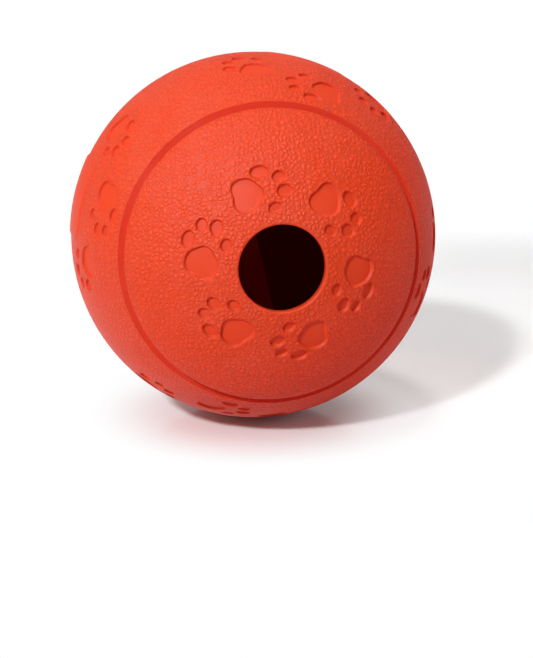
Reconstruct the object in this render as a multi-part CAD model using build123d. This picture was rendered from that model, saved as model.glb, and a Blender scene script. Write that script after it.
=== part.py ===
from build123d import *
from math import cos, radians, sin, sqrt, tan
import os

# Treat dispensing ball: two bonded rubber half-shells round a divider, with a treat hole in front.
# Lengths are in millimetres and angles in degrees. The origin is the centre of the ball.
# The treat hole looks along -Y, the seam lies in the XZ plane and +Z is up.

# Shells
ball_diameter = 110.0
wall_thickness = 7.5
hole_diameter = 23.0
hole_lip_radius = 0.5
hole_edge = 2.6
hole_flare = 45.0
groove_polar = 48.4
groove_width = 2.3
groove_depth = 1.1
groove_wall = 0.5

# Divider, a disc with a D-shaped window, held in a step inside the rims of both shells
divider_thickness = 3.0
divider_seat = 3.5
divider_clearance = 0.2
window_rim = 5.0
window_edge_offset = 0.7
window_corner_radius = 4.0
window_turn = 13.0

# Paw print: a heart-shaped pad, notched behind, and four toes ahead, along its own +X.
# The prints in the band outside the groove are shallower than those in the cap round the hole.
cap_paw_depth = 0.85
band_paw_depth = 0.55
pad_reach = 4.2
pad_wave_shares = [-0.064, -0.058, 0.082, -0.020, 0.040]
pad_ahead = 0.3
pad_side = 0.15
pad_turn = -9.0
pad_sides = 9
toe_sides = 7
inner_toe_ahead = 9.8
inner_toe_side = 2.05
inner_toe_turn = -2.0
outer_toe_ahead = 5.5
outer_toe_side = 5.2
outer_toe_turn = -7.0
small_toe_length = 3.4
small_toe_width = 2.8
middle_toe_length = 3.9
middle_toe_width = 3.2
large_toe_length = 4.6
large_toe_width = 3.3

# Paw print places: polar angle from the hole's axis, angle round it from +X towards +Z,
# and heading, which is 0 along the rising angle round the axis and 90 away from the hole
cap_count = 6
cap_paw = (22.2, 175.6, 185.8)
band_count = 4
band_paws = [(59.4, 159.4, -10.0), (74.5, 140.2, -72.5), (65.9, 182.7, 57.0)]

# How far a cutting shape stands past the surface that it cuts
overrun = 2.0

ball_radius = ball_diameter / 2
cavity_radius = ball_radius - wall_thickness
hole_radius = hole_diameter / 2
seat_radius = cavity_radius + divider_seat
full_turn = 360.0

# Radial half-planes, x away from the hole's axis and y away from the seam
front_plane = Plane((0, 0, 0), x_dir=(1, 0, 0), z_dir=(0, 0, -1))
rear_plane = Plane.XY


def groove_section():
    # Lopsided diamond on the ball's surface, its inner half steep towards the hole and gentle beyond
    across = ball_radius * sin(radians(groove_polar))
    ahead = ball_radius * cos(radians(groove_polar))
    half_width = groove_width / 2
    deepest = groove_wall - half_width
    points = [(-half_width, 0), (deepest, -groove_depth), (half_width, 0), (deepest, groove_depth)]
    return Pos(across, ahead) * Rot(0, 0, -groove_polar) * Polygon(points, align=None)


def shell_profile():
    # Quarter ring with the groove outside and the divider's step at the seam
    reach = ball_radius + overrun
    corner = (Align.MIN, Align.MIN)
    quarter = (Circle(ball_radius) - Circle(cavity_radius)) & Rectangle(reach, reach, align=corner)
    step = Rectangle(seat_radius, divider_thickness / 2, align=corner)
    return quarter - groove_section() - step


def front_profile():
    # The same quarter with the treat hole along its axis, which has a rounded lip and opens out inside
    top = ball_radius + overrun
    flare_start = sqrt(ball_radius**2 - hole_radius**2) - hole_edge
    flare_end = flare_start - 2 * wall_thickness
    flare_reach = hole_radius + 2 * wall_thickness * tan(radians(hole_flare))
    bore = [(hole_radius, flare_start), (hole_radius, top), (0, top)]
    flare = [(0, flare_end), (flare_reach, flare_end)]
    profile = shell_profile() - Polygon(bore + flare, align=None)
    lip = profile.vertices().sort_by(Axis.Y)[-1]
    return fillet(lip, hole_lip_radius)


def pad_outline():
    # The reach from the centre swells and shrinks in waves, and the first point is the notch behind
    points = []
    for step in range(pad_sides):
        turn = radians(full_turn / 2 + full_turn * step / pad_sides)
        wave_share = sum(share * cos(order * turn) for order, share in enumerate(pad_wave_shares, 1))
        reach = pad_reach * (1 + wave_share)
        points.append((reach * cos(turn), reach * sin(turn)))
    return Polygon(points, align=None)


def toe_outline(length, width):
    turns = [radians(full_turn * step / toe_sides) for step in range(toe_sides)]
    return Polygon([(length / 2 * cos(turn), width / 2 * sin(turn)) for turn in turns], align=None)


def paw_outlines():
    # Each outline with its place ahead and aside of the paw's centre, and its turn there
    small = toe_outline(small_toe_length, small_toe_width)
    middle = toe_outline(middle_toe_length, middle_toe_width)
    large = toe_outline(large_toe_length, large_toe_width)
    return [
        (pad_ahead, pad_side, pad_turn, pad_outline()),
        (outer_toe_ahead, outer_toe_side, outer_toe_turn, large),
        (inner_toe_ahead, inner_toe_side, inner_toe_turn, small),
        (inner_toe_ahead, -inner_toe_side, -inner_toe_turn, middle),
        (outer_toe_ahead, -outer_toe_side, -outer_toe_turn, small),
    ]


def paw_plane(polar, around, heading):
    # Plane that touches the ball at the paw's centre, Z outward and X along its heading
    polar, around, heading = radians(polar), radians(around), radians(heading)
    outward = Vector(sin(polar) * cos(around), -cos(polar), sin(polar) * sin(around))
    along = Vector(-sin(around), 0, cos(around))
    away = Vector(cos(polar) * cos(around), sin(polar), cos(polar) * sin(around))
    forward = along * cos(heading) + away * sin(heading)
    return Plane(outward * ball_radius, x_dir=forward, z_dir=outward)


def paw_ring(paw, count):
    # Planes of the same paw, repeated all round the hole's axis
    polar, around, heading = paw
    return [paw_plane(polar, around + full_turn * step / count, heading) for step in range(count)]


def paw_pockets(planes, depth):
    # Pad and toes are each sunk straight in where they touch the ball
    pockets = []
    for plane in planes:
        for ahead, side, turn, outline in paw_outlines():
            outward = plane.from_local_coords(Vector(ahead, side, 0)).normalized()
            seat = Plane(outward * ball_radius, x_dir=plane.x_dir, z_dir=outward)
            pocket = extrude(Rot(0, 0, turn) * outline, depth + overrun)
            pockets.append(seat * Pos(0, 0, -depth) * pocket)
    return pockets


def half_pockets():
    # Every paw on one half: a ring of them inside the groove and three rings outside it
    pockets = paw_pockets(paw_ring(cap_paw, cap_count), cap_paw_depth)
    for paw in band_paws:
        pockets += paw_pockets(paw_ring(paw, band_count), band_paw_depth)
    return pockets


def front_shell(pockets):
    return revolve(front_plane * front_profile(), axis=Axis.Y) - pockets


def rear_shell(pockets):
    # The same pattern turned half round about the upright axis, with no hole
    turned = [Rot(0, 0, full_turn / 2) * pocket for pocket in pockets]
    return revolve(rear_plane * shell_profile(), axis=Axis.Y) - turned


def divider():
    window_radius = cavity_radius - window_rim
    half = Rectangle(window_radius, 2 * window_radius, align=(Align.MIN, Align.CENTER))
    window = Circle(window_radius) & Pos(window_edge_offset, 0) * half
    window = fillet(window.vertices(), window_corner_radius)
    disc = Circle(seat_radius - divider_clearance) - window
    return extrude(Plane.XZ * Rot(0, 0, window_turn) * disc, divider_thickness / 2, both=True)


os.makedirs("parts", exist_ok=True)
paws = half_pockets()
export_step(front_shell(paws), "parts/front_shell.step")
export_step(rear_shell(paws), "parts/rear_shell.step")
export_step(divider(), "parts/divider.step")
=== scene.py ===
import math

import bpy
import numpy as np
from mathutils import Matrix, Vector


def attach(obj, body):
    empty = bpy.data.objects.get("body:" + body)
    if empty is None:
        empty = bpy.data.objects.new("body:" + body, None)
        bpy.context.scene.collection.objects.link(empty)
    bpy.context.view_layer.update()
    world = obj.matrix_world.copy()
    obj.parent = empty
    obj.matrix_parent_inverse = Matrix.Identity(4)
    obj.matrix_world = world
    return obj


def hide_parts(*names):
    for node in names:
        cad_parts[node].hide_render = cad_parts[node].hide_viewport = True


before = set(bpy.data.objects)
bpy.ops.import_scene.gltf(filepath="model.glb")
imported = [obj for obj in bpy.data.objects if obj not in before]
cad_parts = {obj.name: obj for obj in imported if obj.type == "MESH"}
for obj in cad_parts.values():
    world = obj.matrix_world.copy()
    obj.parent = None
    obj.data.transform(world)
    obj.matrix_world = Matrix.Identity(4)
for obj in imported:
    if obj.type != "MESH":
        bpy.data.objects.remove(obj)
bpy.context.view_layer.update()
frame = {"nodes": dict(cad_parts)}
mm = 0.001
fullTurn = 360.0
holeAxis = np.array([0.0, -1.0, 0.0])
print("frame loaded:", ", ".join(frame["nodes"]))


def deselectAll():
    if bpy.context.mode != "OBJECT":
        bpy.ops.object.mode_set(mode="OBJECT")
    bpy.ops.object.select_all(action="DESELECT")


def workOn(piece):
    deselectAll()
    piece.select_set(True)
    bpy.context.view_layer.objects.active = piece


def smoothStep(low, high, value):
    share = np.clip((value - low) / (high - low), 0.0, 1.0)
    return share * share * (3.0 - 2.0 * share)


# Ring groove, in millimetres and degrees: its section runs from the hole's side outwards
groove = {
    "polar": 48.4,
    "section": [                     # place across the groove, depth below the skin
        (-1.32, 0.00), (-1.22, 0.05), (-1.13, 0.25), (-0.98, 0.80), (-0.88, 1.12),
        (-0.76, 1.25), (-0.58, 1.22), (-0.12, 0.93), (0.35, 0.62), (0.80, 0.32),
        (1.08, 0.12), (1.20, 0.04), (1.32, 0.00),
    ],
    "clear": 0.73,                   # no even ring of the skin comes closer to its edges
    "smoothReach": 1.1,
    "smoothEdge": 0.2,
}


def grooveDip(polar):
    offset = np.radians(polar - groove["polar"]) * shell["radius"]
    places, depths = zip(*groove["section"])
    return np.interp(offset, places, depths)


# Half-shells, in millimetres and degrees
shell = {
    "radius": 55.0,
    "wall": 7.5,
    "segments": 128,
    "skinStep": 2.2,
    "insideSteps": 20,
    "flareSteps": 6,
    "boreSteps": 3,
    "holeRadius": 11.5,
    "holeEdge": 2.6,                 # thickness of the wall where the hole starts to open out inside
    "holeFlare": 45.0,
    "lipRadius": 0.4,
    "lipSteps": 8,
    "lipRings": [0.3, 0.7, 1.2],     # closer rings outside the lip
    "lipSmooth": (0.1, -0.2),        # the grain ends between these angles from the lip
    "seatRadius": 51.0,
    "seatDepth": 1.5,
    "seamBevel": 0.22,
    "weld": 0.001,
    "skinSlack": 0.05,               # what lies less deep than this belongs to the skin
    "faceSlack": 0.2,                # and the same for the middles of faces
    "lipSlack": 0.05,                # angle from the lip at which the skin starts
    "outsideDepth": 1.0,             # what lies deeper than this has no grain
    "leastWeight": 0.0005,
    "sharpAngle": 58.0,
}


def lipCentre():
    across = shell["holeRadius"] + shell["lipRadius"]
    reach = shell["radius"] - shell["lipRadius"]
    return across, math.sqrt(reach**2 - across**2)


def lipPolar():
    across, ahead = lipCentre()
    return math.degrees(math.atan2(across, ahead))


def flareStart():
    return math.sqrt(shell["radius"]**2 - shell["holeRadius"]**2) - shell["holeEdge"]


def flarePolar():
    # Where the flare of the hole meets the inside of the shell
    inside = shell["radius"] - shell["wall"]
    lean = math.radians(shell["holeFlare"])
    nearest = shell["holeRadius"] * math.cos(lean) + flareStart() * math.sin(lean)
    return math.pi / 2 - lean - math.acos(nearest / inside)


def atPolar(reach, polar):
    return reach * math.sin(polar), reach * math.cos(polar)


def straight(start, end, steps):
    shares = [step / steps for step in range(1, steps + 1)]
    return [tuple(a + (b - a) * share for a, b in zip(start, end)) for share in shares]


def skinPolars(start):
    # Even rings over the skin, and the groove's own rings in place of those that meet it
    perDegree = math.radians(1.0) * shell["radius"]
    last = fullTurn / 4 - shell["seamBevel"] / perDegree
    count = round((last - start) * perDegree / shell["skinStep"])
    reach = groove["section"][-1][0] + groove["clear"]
    even = np.linspace(start, last, count + 1)
    polars = [polar for polar in even if abs(polar - groove["polar"]) * perDegree > reach]
    polars += [groove["polar"] + offset / perDegree for offset, depth in groove["section"]]
    if start > 0:
        polars += [start + offset / perDegree for offset in shell["lipRings"]]
    return sorted(polars)


def sectionPath(withHole):
    # From the lip or the pole out to the seam, over the rim and seat, and back along the inside
    radius, bore, lip = shell["radius"], shell["holeRadius"], shell["lipRadius"]
    inside = radius - shell["wall"]
    path = []
    for polar in skinPolars(lipPolar() if withHole else 0.0):
        path.append(atPolar(radius - grooveDip(polar), math.radians(polar)))
    path.append((radius - shell["seamBevel"], 0.0))
    path.append((shell["seatRadius"], 0.0))
    path.append((shell["seatRadius"], shell["seatDepth"]))
    first = math.acos(shell["seatDepth"] / inside)
    last = flarePolar() if withHole else 0.0
    path += [atPolar(inside, polar) for polar in np.linspace(first, last, shell["insideSteps"])]
    if withHole:
        across, ahead = lipCentre()
        path += straight(path[-1], (bore, flareStart()), shell["flareSteps"])
        path += straight(path[-1], (bore, ahead), shell["boreSteps"])
        end = math.atan2(ahead, across)
        for turn in np.linspace(math.pi, end, shell["lipSteps"] + 1)[1:]:
            path.append((across + lip * math.cos(turn), ahead + lip * math.sin(turn)))
    return path


def spinShell(name, withHole):
    # The section is drawn point by point and spun about the hole's axis
    facing = -1.0 if withHole else 1.0
    deselectAll()
    bpy.ops.mesh.primitive_plane_add(size=mm)
    piece = bpy.context.object
    piece.name = piece.data.name = name
    bpy.ops.object.mode_set(mode="EDIT")
    bpy.ops.mesh.merge(type="CENTER")
    place = Vector((0.0, 0.0, 0.0))
    for number, (across, ahead) in enumerate(sectionPath(withHole)):
        target = Vector((across, facing * ahead, 0.0)) * mm
        if number == 0:
            bpy.ops.transform.translate(value=target - place)
        else:
            bpy.ops.mesh.extrude_vertices_move(TRANSFORM_OT_translate={"value": target - place})
        place = target
    bpy.ops.mesh.select_all(action="SELECT")
    bpy.ops.mesh.spin(
        steps=shell["segments"], angle=math.tau, center=(0.0, 0.0, 0.0), axis=(0.0, 1.0, 0.0)
    )
    bpy.ops.mesh.select_all(action="SELECT")
    bpy.ops.mesh.remove_doubles(threshold=shell["weld"] * mm)
    bpy.ops.mesh.normals_make_consistent(inside=False)
    bpy.ops.object.mode_set(mode="OBJECT")
    print(name, "spun:", len(piece.data.polygons), "faces")
    return piece


# Paw prints: one pad and four toes each, in millimetres and degrees
prints = {
    "depth": 0.80,
    "bandShare": 0.75,                # of that depth outside the groove
    "wall": 0.50,
    "bandWall": 0.34,
    "creaseReach": 0.30,              # either side of the outline of a print outside the groove
    "creaseHeights": (-45.0, 10.0),   # the floor lights the creases below
    "draft": 0.25,                    # how much steeper the walls away from the hole are
    "smoothFrom": 0.30,
    "smoothTo": 0.10,
    "padPlace": (0.3, 0.15),
    "padTurn": -9.0,
    "padSeries": [4.226, -0.27, -0.243, 0.347, -0.070, 0.120],
    "toes": [                         # ahead, aside, length, width, turn
        (5.27, 4.95, 4.55, 3.20, -6.0),
        (9.75, 2.05, 3.35, 2.80, 0.0),
        (9.85, -2.05, 3.90, 3.20, 3.0),
        (5.75, -5.45, 3.35, 2.65, 8.0),
    ],
    "ringCount": 6,
    "ring": (22.2, 175.6, 185.8),     # polar angle, angle round the hole, heading
    "bandCount": 4,
    "band": [(59.4, 159.4, -10.0), (74.5, 140.2, -72.5), (65.9, 182.7, 57.0)],
    "nearCosine": 0.985,              # only points about this close to a mark are measured from it
    "leastReach": 1e-6,               # keeps a mark's own middle from a division by zero
    "refine": [1.7, 0.9, 0.5, 0.30],  # reach of each round of subdividing, either side of an outline
}


def printPlaces():
    # Place and heading of every print, how its walls are cut, and whether shade is painted along them
    inRing = {"share": 1.0, "wall": prints["wall"], "paintedShade": False}
    inBand = {"share": prints["bandShare"], "wall": prints["bandWall"], "paintedShade": True}
    rows = [(prints["ring"], prints["ringCount"], inRing)]
    rows += [(place, prints["bandCount"], inBand) for place in prints["band"]]
    places = []
    for (polar, around, heading), count, cut in rows:
        for number in range(count):
            places.append((polar, around + fullTurn * number / count, heading, cut))
    return places


def unit(vector):
    return vector / np.linalg.norm(vector)


def markAt(outward, forward, aside, ahead, side, turn):
    # A pad or toe's own middle and axes on the ball
    middle = unit(outward * shell["radius"] + forward * ahead + aside * side)
    along = unit(forward - middle * (forward @ middle))
    across = np.cross(middle, along)
    spin = math.radians(turn)
    away = unit(middle * (middle @ holeAxis) - holeAxis)
    turned = along * math.cos(spin) + across * math.sin(spin)
    return {"middle": middle, "along": turned, "across": np.cross(middle, turned), "away": away}


def printMarks():
    # The pad and the toes of every print
    marks = []
    for polar, around, heading, cut in printPlaces():
        polar, around, heading = map(math.radians, (polar, around, heading))
        sideways = np.array([math.cos(around), 0.0, math.sin(around)])
        outward = sideways * math.sin(polar) + holeAxis * math.cos(polar)
        alongRing = np.array([-math.sin(around), 0.0, math.cos(around)])
        fromHole = np.cross(alongRing, outward)
        forward = alongRing * math.cos(heading) + fromHole * math.sin(heading)
        aside = np.cross(outward, forward)
        pad = markAt(outward, forward, aside, *prints["padPlace"], prints["padTurn"])
        marks.append({**pad, **cut, "series": prints["padSeries"]})
        for ahead, side, length, width, turn in prints["toes"]:
            toe = markAt(outward, forward, aside, ahead, side, turn)
            marks.append({**toe, **cut, "half": (length / 2, width / 2)})
    return marks


def outlineDistance(mark, x, y, reach):
    # How far outside the outline of a pad or a toe, and below zero inside it
    if "series" in mark:
        turn = np.arctan2(y, x)
        return reach - sum(size * np.cos(order * turn) for order, size in enumerate(mark["series"]))
    halfLength, halfWidth = mark["half"]
    level = np.hypot(x / halfLength, y / halfWidth)
    slope = np.hypot(x / halfLength**2, y / halfWidth**2)
    return level * (level - 1.0) / np.maximum(slope, prints["leastReach"])


def printField(points):
    # Sunk and smooth share of every point, its share of painted shade along the print walls, and its distance
    # to the nearest outline
    sunk, smooth, creaseShade = np.zeros((3, len(points)))
    nearest = np.full(len(points), np.inf)
    directions = points / np.linalg.norm(points, axis=1, keepdims=True)
    for mark in allMarks:
        chosen = np.nonzero(directions @ mark["middle"] > prints["nearCosine"])[0]
        if not len(chosen):
            continue
        x = directions[chosen] @ mark["along"] * shell["radius"]
        y = directions[chosen] @ mark["across"] * shell["radius"]
        reach = np.maximum(np.hypot(x, y), prints["leastReach"])
        distance = outlineDistance(mark, x, y, reach)
        lean = (x * (mark["away"] @ mark["along"]) + y * (mark["away"] @ mark["across"])) / reach
        wall = mark["wall"] * (1.0 - prints["draft"] * lean)
        depth = mark["share"] * smoothStep(wall / 2, -wall / 2, distance)
        bare = smoothStep(prints["smoothFrom"], prints["smoothTo"], distance)
        sunk[chosen] = np.maximum(sunk[chosen], depth)
        smooth[chosen] = np.maximum(smooth[chosen], bare)
        nearest[chosen] = np.minimum(nearest[chosen], np.abs(distance))
        if mark["paintedShade"]:
            # Painted shade along the walls away from the hole, less towards the floor
            shaded = smoothStep(prints["creaseReach"], 0.0, np.abs(distance)) * np.clip(lean, 0.0, 1.0)
            shaded *= smoothStep(*prints["creaseHeights"], points[chosen, 2])
            creaseShade[chosen] = np.maximum(creaseShade[chosen], shaded)
    return {"sunk": sunk, "smooth": smooth, "creaseShade": creaseShade, "nearest": nearest}


# Bare raised panels across the seam, in millimetres and degrees
panel = {
    "around": [(164.6, 1.0), (74.6, 0.4)],     # angle round the hole, share of the rise
    "halfWidth": 11.6,
    "halfHeight": 16.2,
    "corner": 5.0,
    "rise": 0.40,
    "edge": 1.1,
    "refine": [2.4, 1.2, 0.7],                 # as for the prints
}


def panelField(points):
    # Raised share of every point, and its distance from the nearest outline, below zero inside
    directions = points / np.linalg.norm(points, axis=1, keepdims=True)
    lift = np.degrees(np.arccos(np.clip(directions @ holeAxis, -1.0, 1.0))) - fullTurn / 4
    around = np.degrees(np.arctan2(directions[:, 2], directions[:, 0]))
    height = np.radians(lift) * shell["radius"]
    pastHeight = np.abs(height) - (panel["halfHeight"] - panel["corner"])
    nearest = np.full(len(points), np.inf)
    raised = np.zeros(len(points))
    for middle, share in panel["around"]:
        offset = (around - middle + fullTurn / 2) % fullTurn - fullTurn / 2
        width = np.radians(offset) * np.cos(np.radians(lift)) * shell["radius"]
        pastWidth = np.abs(width) - (panel["halfWidth"] - panel["corner"])
        outer = np.hypot(np.maximum(pastWidth, 0), np.maximum(pastHeight, 0))
        inner = np.minimum(np.maximum(pastWidth, pastHeight), 0)
        distance = outer + inner - panel["corner"]
        nearest = np.minimum(nearest, distance)
        edge = panel["edge"] / share
        raised = np.maximum(raised, share * smoothStep(edge / 2, -edge / 2, distance))
    return raised, nearest


def meshPoints(piece):
    points = np.empty(len(piece.data.vertices) * 3)
    piece.data.vertices.foreach_get("co", points)
    return points.reshape(-1, 3) / mm


def faceCentres(piece):
    centres = np.empty(len(piece.data.polygons) * 3)
    piece.data.polygons.foreach_get("center", centres)
    return centres.reshape(-1, 3) / mm


def patternPoints(points, withHole):
    # The rear half carries the front's prints turned half round about the upright axis
    return points if withHole else points * np.array([-1.0, -1.0, 1.0])


def onSkin(points, withHole):
    # Which points lie on the skin, and every point's angle from the pole
    reach = np.linalg.norm(points, axis=1)
    polar = np.degrees(np.arccos(np.clip(np.abs(points[:, 1]) / reach, -1.0, 1.0)))
    start = lipPolar() + shell["lipSlack"] if withHole else -np.inf
    return (reach > shell["radius"] - shell["skinSlack"]) & (polar > start), polar


def refineSkin(piece, withHole):
    rounds = max(len(prints["refine"]), len(panel["refine"]))
    for number in range(rounds):
        centres = faceCentres(piece)
        skin = np.linalg.norm(centres, axis=1) > shell["radius"] - shell["faceSlack"]
        near = np.zeros(len(centres), bool)
        if number < len(prints["refine"]):
            nearest = printField(patternPoints(centres, withHole))["nearest"]
            near |= nearest < prints["refine"][number]
        if number < len(panel["refine"]):
            near |= np.abs(panelField(centres)[1]) < panel["refine"][number]
        workOn(piece)
        bpy.context.tool_settings.mesh_select_mode = (False, False, True)
        bpy.ops.object.mode_set(mode="EDIT")
        bpy.ops.mesh.select_all(action="DESELECT")
        bpy.ops.object.mode_set(mode="OBJECT")
        piece.data.polygons.foreach_set("select", skin & near)
        bpy.ops.object.mode_set(mode="EDIT")
        bpy.ops.mesh.subdivide(number_cuts=1, smoothness=0.0, ngon=False)
        bpy.ops.object.mode_set(mode="OBJECT")
    print(piece.name, "refined:", len(piece.data.polygons), "faces")


def castSkin(piece, name, weights, reach):
    # Moves the weighted vertices straight in or out to a ball of that radius
    group = piece.vertex_groups.new(name=name)
    for index in np.nonzero(weights > shell["leastWeight"])[0]:
        group.add([int(index)], float(weights[index]), "REPLACE")
    workOn(piece)
    cast = piece.modifiers.new(name, "CAST")
    cast.cast_type = "SPHERE"
    cast.factor = 1.0
    cast.radius = 0.0
    cast.use_radius_as_size = False
    cast.size = reach * mm
    cast.vertex_group = name
    bpy.ops.object.modifier_apply(modifier=name)
    piece.vertex_groups.remove(piece.vertex_groups[name])


def finishShell(piece, withHole):
    skin, polar = onSkin(meshPoints(piece), withHole)
    castSkin(piece, "roundSkin", skin.astype(float), shell["radius"])
    points = meshPoints(piece)
    field = printField(patternPoints(points, withHole))
    raised, fromPanel = panelField(points)
    castSkin(piece, "sinkPrints", field["sunk"] * skin, shell["radius"] - prints["depth"])
    castSkin(piece, "raisePanels", raised * skin, shell["radius"] + panel["rise"])
    # Share of smooth skin for the material: prints, panels, groove, lip and all of the inside
    offset = np.abs(np.radians(polar - groove["polar"])) * shell["radius"]
    inGroove = smoothStep(groove["smoothReach"] + groove["smoothEdge"], groove["smoothReach"], offset)
    onPanel = smoothStep(panel["edge"] / 2, -panel["edge"] / 2, fromPanel)
    outside = np.linalg.norm(points, axis=1) > shell["radius"] - shell["outsideDepth"]
    smooth = np.maximum.reduce([field["smooth"], onPanel, inGroove, np.where(outside, 0.0, 1.0)])
    if withHole:
        grainEnds = [lipPolar() + angle for angle in shell["lipSmooth"]]
        smooth = np.maximum(smooth, smoothStep(*grainEnds, polar))
    # Share of painted shade: the whole groove, and the walls of the outer prints away from the hole
    paintedShade = np.maximum(inGroove, field["creaseShade"] * outside)
    for name, values in (("smoothSkin", smooth), ("creaseShadeSkin", paintedShade)):
        layer = piece.data.attributes.new(name, "FLOAT", "POINT")
        layer.data.foreach_set("value", values.astype(np.float32))
    workOn(piece)
    bpy.ops.object.shade_smooth_by_angle(angle=math.radians(shell["sharpAngle"]))
    print(piece.name, "finished:", sum(len(p.vertices) - 2 for p in piece.data.polygons), "triangles")


allMarks = printMarks()
frontShell = spinShell("frontShell", True)
rearShell = spinShell("rearShell", False)
for piece, withHole in ((frontShell, True), (rearShell, False)):
    refineSkin(piece, withHole)
    finishShell(piece, withHole)


# Material nodes
def addNode(tree, kind, place, **settings):
    node = tree.nodes.new(kind)
    node.location = place
    for name, value in settings.items():
        setattr(node, name, value)
    return node


def feed(tree, socket, value):
    # A number or a colour is set on the socket, and anything else is linked to it
    if isinstance(value, (int, float, tuple)):
        socket.default_value = value
    else:
        tree.links.new(value, socket)


def mathNode(tree, operation, place, first, second):
    node = addNode(tree, "ShaderNodeMath", place, operation=operation)
    feed(tree, node.inputs[0], first)
    feed(tree, node.inputs[1], second)
    return node.outputs[0]


def mixColour(tree, place, share, first, second):
    node = addNode(tree, "ShaderNodeMix", place, data_type="RGBA")
    feed(tree, node.inputs["Factor"], share)
    feed(tree, node.inputs["A"], first)
    feed(tree, node.inputs["B"], second)
    return node.outputs["Result"]


def softRange(tree, place, value, limits):
    # From 0 at the first limit to 1 at the second, with soft ends
    node = addNode(tree, "ShaderNodeMapRange", place, interpolation_type="SMOOTHSTEP")
    feed(tree, node.inputs["Value"], value)
    feed(tree, node.inputs["From Min"], limits[0])
    feed(tree, node.inputs["From Max"], limits[1])
    return node.outputs["Result"]


def levelRange(tree, place, value, low, high, start=0.0):
    # From the low level where the value is at its start to the high one where it is 1
    node = addNode(tree, "ShaderNodeMapRange", place)
    feed(tree, node.inputs["Value"], value)
    feed(tree, node.inputs["From Min"], start)
    feed(tree, node.inputs["To Min"], low)
    feed(tree, node.inputs["To Max"], high)
    return node.outputs["Result"]


def newGroup(name, inputs, outputs):
    tree = bpy.data.node_groups.new(name, "ShaderNodeTree")
    tree.interface.new_socket(name="Vector", in_out="INPUT", socket_type="NodeSocketVector")
    for socket, value in inputs.items():
        made = tree.interface.new_socket(name=socket, in_out="INPUT", socket_type="NodeSocketFloat")
        made.default_value = value
    for socket in outputs:
        tree.interface.new_socket(name=socket, in_out="OUTPUT", socket_type="NodeSocketFloat")
    return tree, addNode(tree, "NodeGroupInput", (-900, 0)), addNode(tree, "NodeGroupOutput", (900, 0))


def newMaterial(name):
    material = bpy.data.materials.new(name)
    material.use_nodes = True
    tree = material.node_tree
    return material, tree, tree.nodes["Principled BSDF"]


# Pebbled mould grain
pebble = {
    "inputs": {"Scale": 800.0, "Warp": 0.0006, "Flat": 0.20},
    "warpScaleShare": 0.55,
    "warpDetail": 2.0,
    "warpMiddle": (0.5, 0.5, 0.5),
    "randomness": 0.8,
    "valleyEnd": 1.05,
}


def pebbleGroup():
    # Cushions of even height with narrow soft valleys between them, and a mask for painted shade in those
    # valleys
    tree, given, result = newGroup("pebbleGrain", pebble["inputs"], ["Height", "ValleyShade"])
    link = tree.links.new
    noise = addNode(tree, "ShaderNodeTexNoise", (-700, -200), noise_dimensions="3D")
    noise.inputs["Detail"].default_value = pebble["warpDetail"]
    warpScale = mathNode(tree, "MULTIPLY", (-880, -300), given.outputs["Scale"], pebble["warpScaleShare"])
    link(given.outputs["Vector"], noise.inputs["Vector"])
    link(warpScale, noise.inputs["Scale"])
    centred = addNode(tree, "ShaderNodeVectorMath", (-500, -200), operation="SUBTRACT")
    centred.inputs[1].default_value = pebble["warpMiddle"]
    link(noise.outputs["Color"], centred.inputs[0])
    scaled = addNode(tree, "ShaderNodeVectorMath", (-320, -200), operation="SCALE")
    link(centred.outputs[0], scaled.inputs[0])
    link(given.outputs["Warp"], scaled.inputs["Scale"])
    warped = addNode(tree, "ShaderNodeVectorMath", (-140, 0), operation="ADD")
    link(given.outputs["Vector"], warped.inputs[0])
    link(scaled.outputs[0], warped.inputs[1])
    reaches = []
    for feature, height in (("F1", 200), ("F2", -100)):
        cells = addNode(tree, "ShaderNodeTexVoronoi", (60, height), feature=feature)
        cells.inputs["Randomness"].default_value = pebble["randomness"]
        link(warped.outputs[0], cells.inputs["Vector"])
        link(given.outputs["Scale"], cells.inputs["Scale"])
        reaches.append(cells.outputs["Distance"])
    share = mathNode(tree, "DIVIDE", (260, 100), *reaches)
    valley = softRange(tree, (440, 100), share, (given.outputs["Flat"], pebble["valleyEnd"]))
    link(mathNode(tree, "SUBTRACT", (740, 0), 1.0, valley), result.inputs["Height"])
    link(mathNode(tree, "MULTIPLY", (740, 200), valley, valley), result.inputs["ValleyShade"])
    return tree


# Pale bloom and handling marks in soft patches, with a few specks of lint
bloom = {
    "inputs": {"Patch Scale": 60.0, "Speck Scale": 110.0},
    "patchDetail": 5.0,
    "patchRoughness": 0.6,
    "patchLimits": (0.42, 0.72),
    "speckLimits": (0.036, 0.02),
}


def bloomGroup():
    tree, given, result = newGroup("rubberBloom", bloom["inputs"], ["Patch", "Speck"])
    link = tree.links.new
    patches = addNode(tree, "ShaderNodeTexNoise", (-500, 150), noise_dimensions="3D")
    patches.inputs["Detail"].default_value = bloom["patchDetail"]
    patches.inputs["Roughness"].default_value = bloom["patchRoughness"]
    link(given.outputs["Vector"], patches.inputs["Vector"])
    link(given.outputs["Patch Scale"], patches.inputs["Scale"])
    patch = softRange(tree, (-250, 150), patches.outputs["Fac"], bloom["patchLimits"])
    link(patch, result.inputs["Patch"])
    specks = addNode(tree, "ShaderNodeTexVoronoi", (-500, -150), feature="F1")
    link(given.outputs["Vector"], specks.inputs["Vector"])
    link(given.outputs["Speck Scale"], specks.inputs["Scale"])
    speck = softRange(tree, (-250, -150), specks.outputs["Distance"], bloom["speckLimits"])
    link(speck, result.inputs["Speck"])
    return tree
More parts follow.
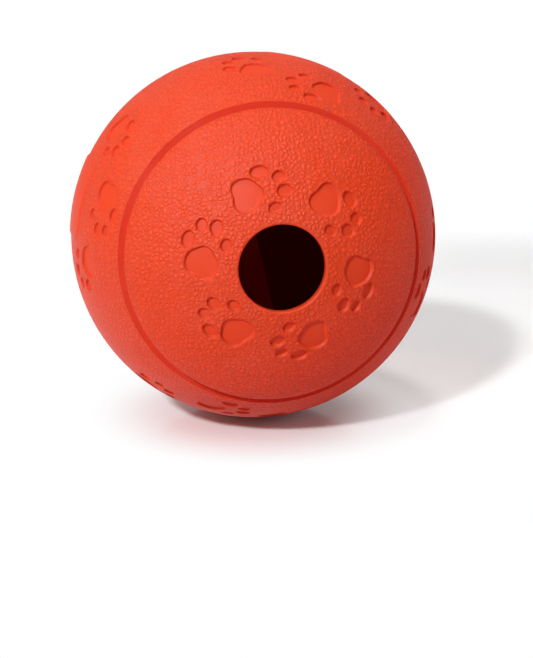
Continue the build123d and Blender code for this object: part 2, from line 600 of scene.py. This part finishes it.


# Matt red rubber, grained except where the shell is marked as smooth, with painted shade in the grain's
# valleys, in the groove and along the walls of the outer prints
redRubber = {
    "colour": (0.648, 0.0275, 0.0036, 1.0),
    # darker for the smooth parts: partly the bare rubber's deeper tone, partly painted shade on the sunk
    # print floors
    "smoothColour": (0.602, 0.0245, 0.0030, 1.0),
    # painted shade in the valleys of the grain
    "valleyShadeColour": (0.42, 0.018, 0.003, 1.0),
    "valleyShadeShare": 0.45,
    "bloomColour": (0.58, 0.13, 0.09, 1.0),
    "bloomShare": 0.05,
    "speckColour": (0.62, 0.40, 0.36, 1.0),
    "speckShare": 0.20,
    # painted shade, darker and deeper red, in the groove and along the print walls away from the hole
    "creaseShadeColour": (0.545, 0.0120, 0.0010, 1.0),      # in the groove and along the walls of the outer prints
    "grainDepth": 0.19,                                # millimetres
    "grainStrength": 1.0,
    "roughness": 0.57,
    "smoothRoughness": 0.58,
    "creaseRoughness": 0.80,
    "specular": 0.16,
}


def redRubberMaterial(grainTree, bloomTree):
    material, tree, shader = newMaterial("redRubber")
    link = tree.links.new
    place = addNode(tree, "ShaderNodeTexCoord", (-1500, 0)).outputs["Object"]
    smooth = addNode(tree, "ShaderNodeAttribute", (-1500, -350), attribute_name="smoothSkin").outputs["Fac"]
    shadeInCreases = addNode(tree, "ShaderNodeAttribute", (-1500, -550), attribute_name="creaseShadeSkin").outputs["Fac"]
    rough = mathNode(tree, "SUBTRACT", (-1250, -350), 1.0, smooth)
    grain = addNode(tree, "ShaderNodeGroup", (-1250, 0), node_tree=grainTree)
    marks = addNode(tree, "ShaderNodeGroup", (-1250, 300), node_tree=bloomTree)
    link(place, grain.inputs["Vector"])
    link(place, marks.inputs["Vector"])
    valleyShade = mathNode(tree, "MULTIPLY", (-1000, -100), grain.outputs["ValleyShade"], rough)
    valleyShade = mathNode(tree, "MULTIPLY", (-820, -100), valleyShade, redRubber["valleyShadeShare"])
    patches = mathNode(tree, "MULTIPLY", (-1000, 300), marks.outputs["Patch"], redRubber["bloomShare"])
    specks = mathNode(tree, "MULTIPLY", (-1000, 480), marks.outputs["Speck"], redRubber["speckShare"])
    # Smooth parts darker, partly their own tone and partly painted shade on the sunk print floors
    colour = mixColour(tree, (-800, 200), smooth, redRubber["colour"], redRubber["smoothColour"])
    # Painted shade in the valleys of the grain, none on the smooth parts
    colour = mixColour(tree, (-620, 200), valleyShade, colour, redRubber["valleyShadeColour"])
    # Painted shade in the groove and along the walls of the outer prints
    colour = mixColour(tree, (-530, 200), shadeInCreases, colour, redRubber["creaseShadeColour"])
    colour = mixColour(tree, (-440, 200), patches, colour, redRubber["bloomColour"])
    colour = mixColour(tree, (-260, 200), specks, colour, redRubber["speckColour"])
    link(colour, shader.inputs["Base Color"])
    sheen = levelRange(tree, (-440, -100), smooth, redRubber["roughness"], redRubber["smoothRoughness"])
    dull = levelRange(tree, (-260, -100), shadeInCreases, sheen, redRubber["creaseRoughness"])
    link(dull, shader.inputs["Roughness"])
    shader.inputs["Specular IOR Level"].default_value = redRubber["specular"]
    height = mathNode(tree, "MULTIPLY", (-820, -300), grain.outputs["Height"], rough)
    bump = addNode(tree, "ShaderNodeBump", (-260, -300))
    bump.inputs["Strength"].default_value = redRubber["grainStrength"]
    bump.inputs["Distance"].default_value = redRubber["grainDepth"] * mm
    link(height, bump.inputs["Height"])
    link(bump.outputs["Normal"], shader.inputs["Normal"])
    return material


# Smooth rubber of the divider
innerRubber = {
    "colour": (0.68, 0.032, 0.008, 1.0),
    "bloomColour": (0.60, 0.12, 0.09, 1.0),
    "bloomShare": 0.06,
    "roughness": 0.55,
    "specular": 0.15,
}


def innerRubberMaterial(bloomTree):
    material, tree, shader = newMaterial("innerRubber")
    place = addNode(tree, "ShaderNodeTexCoord", (-900, 0)).outputs["Object"]
    marks = addNode(tree, "ShaderNodeGroup", (-700, 0), node_tree=bloomTree)
    tree.links.new(place, marks.inputs["Vector"])
    patches = mathNode(tree, "MULTIPLY", (-480, 0), marks.outputs["Patch"], innerRubber["bloomShare"])
    colour = mixColour(tree, (-280, 100), patches, innerRubber["colour"], innerRubber["bloomColour"])
    tree.links.new(colour, shader.inputs["Base Color"])
    shader.inputs["Roughness"].default_value = innerRubber["roughness"]
    shader.inputs["Specular IOR Level"].default_value = innerRubber["specular"]
    return material


pebbleGrain = pebbleGroup()
rubberBloom = bloomGroup()
redMaterial = redRubberMaterial(pebbleGrain, rubberBloom)
innerMaterial = innerRubberMaterial(rubberBloom)
for piece, node in ((frontShell, "front_shell"), (rearShell, "rear_shell")):
    piece.data.materials.clear()
    piece.data.materials.append(redMaterial)
    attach(piece, "root")
    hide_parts(node)
divider = frame["nodes"]["divider"]
divider.data.materials.clear()
divider.data.materials.append(innerMaterial)
print("materials set")


# Pale floor that whitens away from the ball, in metres
floor = {
    "height": -shell["radius"] * mm,
    "size": 8.0,
    "colour": (0.96, 0.93, 0.92, 1.0),
    "bounceColour": (0.72, 0.70, 0.70, 1.0),     # as it lights the ball
    "roughness": 0.16,
    "specular": 0.50,
    "fadeMiddle": (0.17, 0.12, 0.0),             # it whitens away from here
    "fade": (0.10, 0.25),
    "shadeMiddle": (0.0, 0.0, 0.0),              # and keeps its shade under the ball
    "shade": (0.024, 0.054),
    "glossFade": (0.19, 0.27),
    # glows past white where the ball's sheen sees it: a painted reflection on the ball
    "reflectionGlow": 1.9,                           # how bright the white part is in the ball's own sheen
}


def reachNode(tree, place, start, middle):
    node = addNode(tree, "ShaderNodeVectorMath", place, operation="DISTANCE")
    tree.links.new(start, node.inputs[0])
    node.inputs[1].default_value = middle
    return node.outputs["Value"]


def floorMaterial():
    material, tree, shader = newMaterial("paleFloor")
    link = tree.links.new
    path = addNode(tree, "ShaderNodeLightPath", (-900, 200))
    byCamera, bySheen = path.outputs["Is Camera Ray"], path.outputs["Is Glossy Ray"]
    colour = mixColour(tree, (-300, 200), byCamera, floor["bounceColour"], floor["colour"])
    link(colour, shader.inputs["Base Color"])
    shader.inputs["Roughness"].default_value = floor["roughness"]
    shader.inputs["Specular IOR Level"].default_value = floor["specular"]
    # Plain white away from the ball where the camera sees it; where a reflection sees it, a glow brighter
    # than white that paints a reflection onto the ball
    spot = addNode(tree, "ShaderNodeTexCoord", (-1100, -300)).outputs["Object"]
    reach = reachNode(tree, (-800, -200), spot, floor["fadeMiddle"])
    fromBall = reachNode(tree, (-800, -450), spot, floor["shadeMiddle"])
    far = softRange(tree, (-500, -200), reach, floor["fade"])
    clear = softRange(tree, (-500, -450), fromBall, floor["shade"])
    farGloss = softRange(tree, (-500, -850), reach, floor["glossFade"])
    seen = mathNode(tree, "MULTIPLY", (-500, 0), byCamera, clear)
    fade = mathNode(tree, "MULTIPLY", (-300, 0), far, seen)
    gloss = mathNode(tree, "MULTIPLY", (-300, -850), farGloss, bySheen)
    fade = mathNode(tree, "MAXIMUM", (-100, -300), fade, gloss)
    white = addNode(tree, "ShaderNodeEmission", (0, -450))
    level = levelRange(tree, (-300, -650), bySheen, 1.0, floor["reflectionGlow"])
    link(level, white.inputs["Strength"])
    both = addNode(tree, "ShaderNodeMixShader", (300, 0))
    link(fade, both.inputs[0])
    link(shader.outputs[0], both.inputs[1])
    link(white.outputs[0], both.inputs[2])
    link(both.outputs[0], tree.nodes["Material Output"].inputs["Surface"])
    return material


def addFloor():
    deselectAll()
    bpy.ops.mesh.primitive_plane_add(size=floor["size"], location=(0.0, 0.0, floor["height"]))
    plane = bpy.context.object
    plane.name = "floor"
    plane.data.materials.append(floorMaterial())
    return plane


# Soft key from the upper left, three weaker lamps and a white room
lights = {
    "lamps": {                      # azimuth, elevation, distance, size, power, whether the sheen shows it
        "key": (-37.0, 35.2, 2.0, 0.20, 37.5, True),
        "overhead": (-20.0, 82.0, 1.2, 0.25, 2.9, True),
        "fill": (75.0, 18.0, 1.2, 0.60, 2.6, False),
        "side": (-80.0, 12.0, 1.2, 1.00, 2.4, False),
    },
    "ballKeyColour": (0.94, 2.05, 2.40),      # the key as it lights the ball, and as it lights the floor
    "floorKeyColour": (0.97, 1.03, 1.06),
    "roomColour": (1.0, 1.0, 1.0, 1.0),
    "seenLevel": 1.0,                         # of the room where the camera sees it
    "horizonLevel": 0.33,
    "zenithLevel": 0.50,
    "frontShare": 0.2,                        # of that level behind the camera
    "backShare": 1.4,                         # and behind the ball
}


def onRing(azimuth, elevation, distance):
    around, lift = math.radians(azimuth), math.radians(elevation)
    level = math.cos(lift)
    return Vector((math.sin(around) * level, -math.cos(around) * level, math.sin(lift))) * distance


def addLamp(name, values):
    azimuth, elevation, distance, size, power, gloss = values
    place = onRing(azimuth, elevation, distance)
    turn = (-place).to_track_quat("-Z", "Y").to_euler()
    bpy.ops.object.light_add(type="AREA", location=place, rotation=turn)
    lamp = bpy.context.object
    lamp.name = name
    lamp.data.shape = "DISK"
    lamp.data.size = size
    lamp.data.energy = power
    lamp.visible_glossy = gloss
    return lamp


def lightOnly(lamp, pieces):
    chosen = bpy.data.collections.new(lamp.name + "Reach")
    for piece in pieces:
        chosen.objects.link(piece)
    lamp.light_linking.receiver_collection = chosen


def splitKey(ballKey, plane):
    # The pale floor takes a nearly neutral key, and the ball a cooler one that keeps its lit side pale
    floorKey = addLamp("floorKey", lights["lamps"]["key"])
    floorKey.data.color = lights["floorKeyColour"]
    ballKey.data.color = lights["ballKeyColour"]
    lightOnly(floorKey, [plane])
    lightOnly(ballKey, [frontShell, rearShell, divider])


def addRoom():
    world = bpy.data.worlds.new("whiteRoom")
    bpy.context.scene.world = world
    world.use_nodes = True
    tree = world.node_tree
    background = tree.nodes["Background"]
    background.inputs["Color"].default_value = lights["roomColour"]
    # Brighter overhead and behind the ball, and plain white where the camera sees it
    way = addNode(tree, "ShaderNodeTexCoord", (-1000, -200))
    parts = addNode(tree, "ShaderNodeSeparateXYZ", (-800, -200))
    tree.links.new(way.outputs["Generated"], parts.inputs[0])
    up, back = parts.outputs["Z"], parts.outputs["Y"]
    level = levelRange(tree, (-600, -200), up, lights["horizonLevel"], lights["zenithLevel"])
    share = levelRange(tree, (-600, -450), back, lights["frontShare"], lights["backShare"], start=-1.0)
    path = addNode(tree, "ShaderNodeLightPath", (-600, 200))
    strength = addNode(tree, "ShaderNodeMix", (-200, 0), data_type="FLOAT")
    tree.links.new(path.outputs["Is Camera Ray"], strength.inputs["Factor"])
    tree.links.new(mathNode(tree, "MULTIPLY", (-400, -300), level, share), strength.inputs["A"])
    strength.inputs["B"].default_value = lights["seenLevel"]
    tree.links.new(strength.outputs["Result"], background.inputs["Strength"])


# Camera at the photograph's viewing angle
camera = {
    "azimuth": -8.05,
    "elevation": 8.9,
    "distance": 0.33,
    "pitch": 13.797,
    "yaw": 8.743,
    "lens": 58.72,
    "sensor": 36.0,
    "clip": (0.01, 50.0),
}


def addCamera():
    place = onRing(camera["azimuth"], camera["elevation"], camera["distance"])
    turn = (math.radians(fullTurn / 4 - camera["pitch"]), 0.0, -math.radians(camera["yaw"]))
    bpy.ops.object.camera_add(location=place, rotation=turn)
    view = bpy.context.object
    view.name = "camera"
    view.data.lens = camera["lens"]
    view.data.sensor_width = camera["sensor"]
    view.data.clip_start, view.data.clip_end = camera["clip"]
    bpy.context.scene.camera = view


floorPlane = addFloor()
lamps = {name: addLamp(name, values) for name, values in lights["lamps"].items()}
splitKey(lamps["key"], floorPlane)
addRoom()
addCamera()
bpy.context.scene.view_settings.view_transform = "Standard"
print("floor, lights and camera set")
